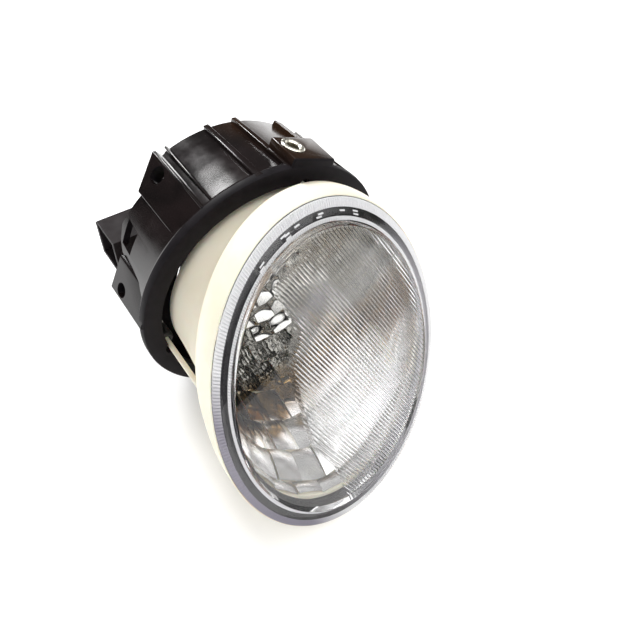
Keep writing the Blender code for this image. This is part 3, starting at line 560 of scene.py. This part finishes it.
def lens_face():
    """The raised face: a smooth outer dome over a fluted inner one, on rows across the flutes."""
    radius = STEP_RADIUS - FACE_INSET
    turn_x, turn_y = polar(1.0, FLUTE_ANGLE)
    front, back = [], []
    for i in range(FACE_ROWS + 1):
        across = radius * OUTER_ROW * (2 * i / FACE_ROWS - 1)
        half = sqrt(radius * radius - across * across)
        for j in range(FACE_COLUMNS + 1):
            along = half * (2 * j / FACE_COLUMNS - 1)
            x, y = along * turn_x - across * turn_y, along * turn_y + across * turn_x
            front.append(raked(x, y, face_height(x, y)))
            back.append(raked(x, y, face_height(x, y) - GLASS + flute(x, y)))
    offset = len(front)
    width = FACE_COLUMNS + 1
    faces = []
    for i in range(FACE_ROWS):
        for j in range(FACE_COLUMNS):
            a = i * width + j
            faces.append((a, a + 1, a + width + 1, a + width))
            faces.append((offset + a, offset + a + width, offset + a + width + 1, offset + a + 1))
        for a in (i * width, i * width + FACE_COLUMNS):
            faces.append((a, a + width, offset + a + width, offset + a))
    return new_piece("lens_face", front + back, faces, "lens_glass", sharp=60)


# ---- lens: the rim and its teeth -----------------------------------------------------------

RIM_PROFILE = ((45.6, 37.7), (45.6, 39.1), (45.5, 39.35), (44.6, 39.70), (43.4, 40.10),
               (43.2, 40.30), (42.2, 40.42), (41.0, 40.52), (40.75, 40.55), (40.2, 40.6),
               (39.95, 40.75), (39.85, 41.6), (39.7, 42.0), (39.55, 42.05), (39.55, 39.4),
               (40.6, 38.0), (42.6, 37.7))
SLOPE_OUTER, SLOPE_KNEE, SLOPE_HEIGHT = 45.4, 43.4, 40.15
BAND_SLOPE, EDGE_SLOPE = -0.02, 0.33
INNER_BASE = 40.52
TOOTH_SHAPE = (0.0, 0.0, 1.0, 1.0)    # gap, gap, tooth, tooth
TOOTH_CHAMFER, GAP_SINK, ROOT_SINK = 0.12, 0.06, 0.12


def rim_slope(radius):
    """Height of the rim's outer slope under the teeth."""
    return (SLOPE_HEIGHT + (SLOPE_OUTER - radius) * BAND_SLOPE
            - max(radius - SLOPE_KNEE, 0.0) * EDGE_SLOPE)


def teeth(name, inner, outer, base, height, count, material):
    """A ring of fine radial teeth that stands on the rim; base gives the rim's height."""
    steps = count * len(TOOTH_SHAPE)
    rows = []
    for radius, share in ((inner, 0.0), (inner + TOOTH_CHAMFER, 1.0), ((inner + outer) / 2, 1.0),
                          (outer - TOOTH_CHAMFER, 1.0), (outer, 0.0)):
        row = []
        for j in range(steps):
            lift = share * height * TOOTH_SHAPE[j % len(TOOTH_SHAPE)]
            row.append(raked(*polar(radius, 360.0 * j / steps), base(radius) - GAP_SINK + lift))
        rows.append(row)
    for radius in (outer, inner):
        rows.append([raked(*polar(radius, 360.0 * j / steps), base(radius) - ROOT_SINK)
                     for j in range(steps)])
    vertices, faces = sweep(rows)
    return new_piece(name, vertices, faces, "lens_glass", sharp=20, material=material)


rim = turn("lens_rim", RIM_PROFILE, "lens_glass", steps=360, warp=raked, sharp=30)
face = lens_face()
fit(rim, "lamp_unit", "lens")
fit(teeth("rim_teeth", inner=43.35, outer=45.55, base=rim_slope, height=0.34, count=330,
          material=TOOTH_GLASS), "lamp_unit")
fit(teeth("inner_teeth", inner=40.2, outer=41.2, base=lambda radius: INNER_BASE, height=0.36,
          count=360, material=FINE_TOOTH_GLASS), "lamp_unit")
fit(face, "lamp_unit", "lens")

# ---- sealant under the rim -----------------------------------------------------------------

SEAL_PROFILE = ((43.2, 34.9), (43.2, 37.1), (45.55, 37.1), (45.55, 37.62), (38.9, 37.62),
                (38.9, 37.0), (40.5, 36.6), (40.5, 34.9))
fit(turn("seal_band", SEAL_PROFILE, "dark_sealant", steps=180, warp=raked), "lamp_unit", "lens_seal")

# ---- dashes on the rim's smooth band -------------------------------------------------------

# Each dash is a (radius, angle) place on the band.
RIM_MARKS = ((42.2, 107.5), (41.4, 108.5), (42.8, 94.6), (42.5, 92.8), (41.5, 92.5), (42.7, 87.3),
             (42.0, 76.0), (42.7, 75.0), (42.6, 63.7), (42.7, 56.5), (41.9, 56.0))
MARK_LENGTH, MARK_WIDTH, MARK_BASE, MARK_TOP, MARK_BEVEL = 2.0, 0.34, 40.3, 40.66, 0.06


def rim_mark(radius, angle):
    """A short raised dash moulded along the rim's smooth band."""
    half = 90 / pi * MARK_LENGTH / radius
    corners = []
    for z in (MARK_BASE, MARK_TOP):
        for out, side in ((-1, -1), (1, -1), (1, 1), (-1, 1)):
            corners.append(raked(*polar(radius + out * MARK_WIDTH / 2, angle + side * half), z))
    return bevelled("rim_mark", corners, "lens_glass", MARK_BEVEL, segments=1)


marks = join("rim_marks", [rim_mark(*mark) for mark in RIM_MARKS])
# The raised dashes take the whitish tooth glass, a painted highlight.
marks.data.materials[0] = FINE_TOOTH_GLASS
fit(marks, "lamp_unit")

# ---- housing -------------------------------------------------------------------------------

BOWL_RADIUS = 31.7
BOWL_FRONT, BOWL_END = -3.0, -28.0
BOWL_OUTSIDE, BOWL_INSIDE = 2.3, 0.25
SLOPE_STEP = 0.05
POST_FRONT, POST_TOP_DEPTH, POST_CHAMFER = 26.4, 27.0, 0.3
NEAR_AXIS = 0.01    # a profile's end on its own axis
VENT_PLACE = (24.0, 240.0)
VENT_PROFILE = ((1.2, -28.0), (2.2, -28.0), (2.4, -27.7), (2.4, -17.0), (1.2, -17.0))


def bowl_radius(z):
    """The bowl behind the neck is a paraboloid."""
    return BOWL_RADIUS * sqrt((z - BOWL_END) / (BOWL_FRONT - BOWL_END))


def bowl_row(z, offset):
    """A point that stands off the bowl square to its slope."""
    slope = (bowl_radius(z + SLOPE_STEP) - bowl_radius(z - SLOPE_STEP)) / (2 * SLOPE_STEP)
    length = sqrt(1 + slope * slope)
    return bowl_radius(z) + offset / length, z - offset * slope / length


def housing_shell():
    """The flange with its lip, the neck, the bowl and the bulb's seat, outside and then inside."""
    flange = [(43.75, 37.02), (45.66, 37.02), (45.66, 39.15), (45.9, 39.15), (46.0, 39.0),
              (46.0, 35.4), (45.85, 33.4), (45.4, 31.4), (44.9, 29.8), (44.5, 28.4), (44.2, 27.9),
              (43.6, 27.5), (42.6, 27.1), (41.2, 26.6), (39.9, 26.2)]
    neck = [(39.5, 25.8), (39.2, 24.5), (38.3, 20.0), (37.0, 12.0), (36.4, 7.0), (36.0, 3.0),
            (35.8, 0.0), (35.6, -3.0)]
    bowl_outside = [bowl_row(z, BOWL_OUTSIDE) for z in range(-5, -22, -2)]
    seat = [(18.4, -24.2), (17.4, -24.9), (17.2, -25.4), (17.2, -29.7), (16.9, -30.0),
            (12.0, -30.0), (12.0, -27.0), (14.5, -27.0)]
    bowl_inside = [bowl_row(z, BOWL_INSIDE) for z in (-22.5, *range(-21, -4, 2))]
    neck_inside = [(31.9, -3.0), (33.9, 3.0), (34.9, 12.0), (37.5, 26.2), (40.0, 29.2),
                   (40.0, 34.4), (43.6, 34.4), (43.75, 36.5)]
    profile = flange + neck + bowl_outside + seat + bowl_inside + neck_inside
    return turn("housing_shell", profile, "cream_shell", steps=240, warp=raked)


def post(number, pivot):
    """A post that runs back from the flange to a pivot."""
    x, y = polar(pivot.radius, pivot.angle)
    width, rear = pivot.post_radius, pivot.post_rear
    front = POST_FRONT - rake_share(POST_TOP_DEPTH) * (RAKE_X * x + RAKE_Y * y)
    profile = [(NEAR_AXIS, rear), (width - POST_CHAMFER, rear), (width, rear + POST_CHAMFER),
               (width, front), (NEAR_AXIS, front)]
    return turn("post_%d" % number, profile, "cream_shell", steps=32, centre=(x, y), closed=False)


shell = housing_shell()
posts = [post(number, pivot) for number, pivot in enumerate(PIVOTS)]
spigot = turn("vent_spigot", VENT_PROFILE, "cream_shell", steps=32, centre=polar(*VENT_PLACE))
fit(join("housing_body", [shell, *posts, spigot]), "lamp_unit", "reflector_housing")

# ---- mirror --------------------------------------------------------------------------------

SECTORS, FACET_ACROSS, FACET_DOWN = 24, 6, 5
FACET_DEPTHS = (-23.0, -19.0, -15.0, -10.5, -5.5, 0.0, 6.0, 12.5, 19.0, 25.0, 30.0, 34.6)
NECK_WALL = ((BOWL_FRONT, BOWL_RADIUS), (3.0, 33.7), (12.0, 34.7), (26.2, 37.3), (30.0, 39.7),
             (36.0, 39.7))
SKIN_GAP, FACET_STEP, FACET_STAGGER = 0.15, 0.5, 0.5
CROWN_ACROSS, CROWN_DOWN = 0.55, 0.35


def wall_radius(z):
    return bowl_radius(z) if z <= BOWL_FRONT else between(z, NECK_WALL)


def facet(ring, sector, z0, z1):
    """One slightly crowned facet's points; every other one stands a step further in."""
    step = FACET_STEP * ((sector + ring) % 2)
    stagger = FACET_STAGGER * (ring % 2)
    points = []
    for i in range(FACET_DOWN + 1):
        v = i / FACET_DOWN
        z = z0 + (z1 - z0) * v
        for j in range(FACET_ACROSS + 1):
            u = j / FACET_ACROSS
            crown = CROWN_ACROSS * (1 - (2 * u - 1) ** 2) + CROWN_DOWN * (1 - (2 * v - 1) ** 2)
            radius = wall_radius(z) - SKIN_GAP - step - crown
            points.append(raked(*polar(radius, 360.0 * (sector + u + stagger) / SECTORS), z))
    return points


def mirror_skin():
    """The coated bowl: rings of facets, each ring shifted by half a facet from the next."""
    vertices, faces = [], []
    for ring, (z0, z1) in enumerate(zip(FACET_DEPTHS, FACET_DEPTHS[1:])):
        for sector in range(SECTORS):
            start = len(vertices)
            vertices += facet(ring, sector, z0, z1)
            for i in range(FACET_DOWN):
                for j in range(FACET_ACROSS):
                    a = start + i * (FACET_ACROSS + 1) + j
                    faces.append((a, a + 1, a + FACET_ACROSS + 2, a + FACET_ACROSS + 1))
    return new_piece("mirror_facets", vertices, faces, "cream_shell", sharp=30, material=MIRROR)


fit(mirror_skin(), "lamp_unit")

# ---- bracket cup: wall, web and openings ---------------------------------------------------

CUP_DEPTH = 34.0
CUP_FRONT, CUP_REAR, CUP_WALL = 44.6, 42.3, 2.2
RING_HOLE, RING_REAR = 39.5, -2.2
WEB_HOLE, WEB_FRONT, WEB_REAR = 26.0, -13.0, -15.5
WEB_CUT = (-12.0, -17.0)
POCKET_CUT = (1.0, -4.2)
TILT_HOLE, TILT_HOLE_CENTRE = 29.4, (1.0, -1.26)
CUT_NEAR, CUT_FAR = 22.0, 52.0

Pad = namedtuple("Pad", "normal distance side_low side_high front rear hole_side hole_z hole_radius")
UPPER_PAD = Pad(127.0, 44.5, -12.0, 0.2, -2.4, -33.7, -8.0, -25.1, 2.9)
LOWER_PAD = Pad(150.0, 44.2, 2.4, 15.3, -0.3, -22.8, 11.9, -15.8, 2.5)
PAD_THICKNESS, PAD_BEVEL = 5.0, 0.5
PAD_BORE_NEAR, CUP_BORE_NEAR = 36.0, 37.5

# Openings in the wall, as (side, depth) outlines on the flats they are cut square to.
REAR_CUT = ((-13.1, -33.3), (-11.8, -33.1), (0.4, -27.2), (12.2, -28.2), (16.7, -25.4),
            (19.3, -21.9), (20.6, -21.9), (20.6, -41.0), (-13.1, -41.0))
LOWER_CUT = ((2.1, -21.6), (30.0, -21.6), (30.0, -42.0), (2.1, -42.0))
WINDOW = ((-3.6, -18.4), (4.0, -18.0), (3.7, -24.4), (-4.3, -26.0))
WINDOW_ANGLE, WINDOW_NEAR = 144.5, 36.3


def cup_shell():
    """The front ring, the tapered wall and the web, turned in one."""
    wall_front, wall_rear = CUP_FRONT - CUP_WALL, CUP_REAR - CUP_WALL
    wall_web = wall_front - (wall_front - wall_rear) * WEB_FRONT / -CUP_DEPTH
    ring_edge = [(45.4, 0.0), (45.8, -0.15), (46.0, -0.6), (46.0, -2.7), (45.85, -3.05),
                 (45.4, -3.3), (45.0, -3.6), (44.75, -4.1)]
    wall = [(CUP_FRONT, -4.6), (42.32, -33.3), (42.15, -33.8), (41.8, -CUP_DEPTH),
            (40.5, -CUP_DEPTH), (40.1, -33.7)]
    web = [(wall_web, WEB_REAR), (WEB_HOLE, WEB_REAR), (WEB_HOLE, WEB_FRONT), (wall_web, WEB_FRONT)]
    ring_inside = [(wall_front, RING_REAR), (RING_HOLE, RING_REAR), (RING_HOLE, -0.4),
                   (39.7, -0.1), (40.0, 0.0)]
    return turn("cup", ring_edge + wall + web + ring_inside, "black_plastic", steps=240)


def rear_cut():
    return prism("rear_cut", REAR_CUT, UPPER_PAD.normal, CUT_NEAR, CUT_FAR)


def lower_cut():
    return prism("lower_cut", LOWER_CUT, LOWER_PAD.normal, CUT_NEAR, CUT_FAR)


def pad_bore(pad, near):
    return bore("pad_bore", pad.normal, pad.hole_side, pad.hole_z, pad.hole_radius, near, CUT_FAR)


def cup():
    """The shell with its openings cut."""
    shell = cup_shell()
    tools = [drill("tilt_hole", TILT_HOLE_CENTRE, TILT_HOLE, *WEB_CUT, steps=120),
             rear_cut(), lower_cut(), prism("window", WINDOW, WINDOW_ANGLE, WINDOW_NEAR, CUT_FAR)]
    for pivot in PIVOTS:
        place = polar(pivot.radius, pivot.angle)
        tools.append(drill("pocket", place, pivot.pocket_radius, *POCKET_CUT, steps=40))
        tools.append(drill("web_bore", place, pivot.web_bore_radius, *WEB_CUT, steps=32))
    tools += [pad_bore(pad, CUP_BORE_NEAR) for pad in (UPPER_PAD, LOWER_PAD)]
    return cut(shell, *tools)


# ---- bracket cup: ribs, pads and boss ------------------------------------------------------

RIB_ANGLES = (88.0, 74.6, 35.6, *(12.0 - 24.0 * i for i in range(7)))
RIB_WIDTH, RIB_OUT, RIB_ROOT, RIB_BEVEL = 2.2, 1.5, -1.2, 0.35
RIB_FRONT, RIB_REAR = -1.2, -33.6
RIB_FLARE, RIB_TAPER = 1.12, 0.88
# The two thin ribs beside the boss, as (angle, height).
THIN_RIBS, THIN_RIB_WIDTH = ((51.6, 1.5), (48.6, 1.35)), 1.6
# Beads along the upper pad's top edge, as (side, distance).
BEADS = ((-11.9, 44.2), (-14.9, 42.1))
BEAD_HALF, BEAD_BELOW, BEAD_ABOVE, BEAD_DEPTHS = 0.45, 3.0, 0.5, (-2.6, -33.2)
BOSS_ANGLE, BOSS_BASE, BOSS_TOP = 64.0, 43.0, 48.0
BOSS_SIDES, BOSS_DEPTHS, BOSS_BEVEL = (-7.6, 8.8), (-0.15, -13.2), 0.6
INSERT_SIDE, INSERT_BACK, INSERT_RADIUS, INSERT_NEAR = 4.2, -7.8, 3.7, 42.5
# A face is matt if it looks forward, or if it is in front of this depth and doesn't look back.
MATT_REAR, LOOKS_FORWARD, LOOKS_BACK = -2.3, -0.5, 0.3


def rib(angle, width=RIB_WIDTH, out=RIB_OUT):
    """A tapered fin along the cup's wall."""
    corners = []
    for z, radius, flare in ((RIB_FRONT, CUP_FRONT, RIB_FLARE), (RIB_REAR, CUP_REAR, RIB_TAPER)):
        half = width / 2 * flare
        for height, side in ((RIB_ROOT, -1), (RIB_ROOT, 1), (out, 1), (out, -1)):
            corners.append(square_to(angle, radius + height, side * half, z))
    return bevelled("rib", corners, "black_plastic", RIB_BEVEL)


def screw_pad(pad):
    """A screw pad with its hole, cut off where the wall is."""
    body = block("pad", pad.normal, (pad.distance - PAD_THICKNESS, pad.distance),
                 (pad.side_low, pad.side_high), (pad.front, pad.rear), PAD_BEVEL)
    tools = [pad_bore(pad, PAD_BORE_NEAR), rear_cut()]
    if pad is LOWER_PAD:
        tools.append(lower_cut())
    return cut(body, *tools)


def bead(side, distance):
    return block("bead", UPPER_PAD.normal, (distance - BEAD_BELOW, distance + BEAD_ABOVE),
                 (side - BEAD_HALF, side + BEAD_HALF), BEAD_DEPTHS, size=0.40, tilt=0.6)


def boss():
    """The block round the threaded insert."""
    body = block("boss", BOSS_ANGLE, (BOSS_BASE, BOSS_TOP), BOSS_SIDES, BOSS_DEPTHS, BOSS_BEVEL)
    return cut(body, bore("insert_bore", BOSS_ANGLE, INSERT_SIDE, INSERT_BACK, INSERT_RADIUS,
                          INSERT_NEAR, CUT_FAR))


cup_pieces = [cup()]
cup_pieces += [rib(angle) for angle in RIB_ANGLES]
cup_pieces += [rib(angle, THIN_RIB_WIDTH, out) for angle, out in THIN_RIBS]
cup_pieces += [screw_pad(pad) for pad in (UPPER_PAD, LOWER_PAD)]
cup_pieces += [bead(*place) for place in BEADS]
cup_pieces.append(boss())
cup_body = join("cup_body", cup_pieces)
cup_body.data.materials.append(MATT_BLACK)
matt_depth = at(0, 0, MATT_REAR).y
for polygon in cup_body.data.polygons:
    in_front = polygon.center.y < matt_depth
    if polygon.normal.y < LOOKS_FORWARD or in_front and polygon.normal.y < LOOKS_BACK:
        polygon.material_index = 1
fit(cup_body, "bracket", "bracket_cup")

# ---- camera, floor and light ---------------------------------------------------------------

AZIMUTH, ELEVATION = radians(-35.5), radians(53.9)
CAMERA_RIGHT, CAMERA_DOWN, CAMERA_BACK = 0.0177, 0.0128, 0.220
FOCAL_LENGTH, SENSOR_WIDTH, CLIP_START = 36.06, 36.0, 0.01
FLOOR_GAP, FLOOR_HALF = 0.0003, 3
# The room's brightness from behind and below to in front and above, as (place, grey).
ROOM = ((0.0, 0.07), (0.54, 0.08), (0.66, 0.70), (1.0, 2.2))
ROOM_STRENGTH = 1.1
BRIGHT_SIDE = Vector((0.35, -0.30, 0.89)).normalized()
BACKDROP = (0.72, 0.72, 0.73, 1)
KEY_PLACE, KEY_ENERGY, KEY_SIZE = Vector((0.045, 0.736, 0.552)), 8.0, 0.22
FILL_PLACE, FILL_ENERGY, FILL_SIZE = Vector((-1.15, -0.15, 0.40)), 5.5, 0.8
lamp_centre = at(0, 0, 0)


def add_camera():
    back = Vector((sin(AZIMUTH) * cos(ELEVATION), -cos(AZIMUTH) * cos(ELEVATION), sin(ELEVATION)))
    right = Vector((cos(AZIMUTH), sin(AZIMUTH), 0))
    up = back.cross(right)
    spot = lamp_centre + right * CAMERA_RIGHT - up * CAMERA_DOWN + back * CAMERA_BACK
    camera = bpy.data.objects.new("camera", bpy.data.cameras.new("camera"))
    scene.collection.objects.link(camera)
    camera.matrix_world = Matrix(((right.x, up.x, back.x, spot.x), (right.y, up.y, back.y, spot.y),
                                  (right.z, up.z, back.z, spot.z), (0, 0, 0, 1)))
    camera.data.lens = FOCAL_LENGTH
    camera.data.sensor_width = SENSOR_WIDTH
    camera.data.clip_start = CLIP_START
    scene.camera = camera


def white_floor():
    nodes = Nodes("floor_white", Roughness=0.7, Specular_IOR_Level=0.1,
                  Emission_Color=(1.0, 1.0, 1.0, 1.0), Emission_Strength=0.12)
    nodes.drive("Base Color", nodes.tones(nodes.noise(scale=3.0), (0.95, 0.95, 0.95),
                                          (0.96, 0.96, 0.96)))
    height = cad_box[0][2] - FLOOR_GAP
    corners = [(x * FLOOR_HALF, y * FLOOR_HALF, height)
               for x, y in ((-1, -1), (1, -1), (1, 1), (-1, 1))]
    mesh = bpy.data.meshes.new("floor")
    mesh.from_pydata(corners, [], [(0, 1, 2, 3)])
    mesh.materials.append(nodes.material)
    floor = bpy.data.objects.new("floor", mesh)
    scene.collection.objects.link(floor)
    return floor


def studio():
    """A room that is bright in front and above; behind the floor the camera sees a plain grey."""
    world = bpy.data.worlds.new("studio")
    scene.world = world
    world.use_nodes = True
    nodes, links = world.node_tree.nodes, world.node_tree.links
    coords = nodes.new("ShaderNodeTexCoord")
    facing = nodes.new("ShaderNodeVectorMath")
    facing.operation = "DOT_PRODUCT"
    facing.inputs[1].default_value = BRIGHT_SIDE
    room = nodes.new("ShaderNodeValToRGB")
    for place, _ in ROOM[1:-1]:
        room.color_ramp.elements.new(place)
    for element, (_, grey) in zip(room.color_ramp.elements, ROOM):
        element.color = (grey, grey, grey, 1)
    sight = nodes.new("ShaderNodeLightPath")
    backdrop = nodes.new("ShaderNodeMix")
    backdrop.data_type = "RGBA"
    backdrop.inputs[MIX_SECOND].default_value = BACKDROP
    background = nodes["Background"]
    background.inputs["Strength"].default_value = ROOM_STRENGTH
    links.new(coords.outputs["Generated"], facing.inputs[0])
    links.new(facing.outputs["Value"], room.inputs["Fac"])
    links.new(sight.outputs["Is Camera Ray"], backdrop.inputs[MIX_FACTOR])
    links.new(room.outputs["Color"], backdrop.inputs[MIX_FIRST])
    links.new(backdrop.outputs[MIX_RESULT], background.inputs["Color"])


def softbox(name, offset, energy, size):
    """A square light that looks at the lamp."""
    lamp = bpy.data.lights.new(name, "AREA")
    lamp.energy = energy
    lamp.size = size
    holder = bpy.data.objects.new(name, lamp)
    scene.collection.objects.link(holder)
    holder.location = lamp_centre + offset
    holder.rotation_euler = (-offset).to_track_quat("-Z", "Y").to_euler()


add_camera()
floor = white_floor()
studio()
softbox("key", KEY_PLACE, KEY_ENERGY, KEY_SIZE)
softbox("fill", FILL_PLACE, FILL_ENERGY, FILL_SIZE)

scene.view_settings.view_transform = "Standard"
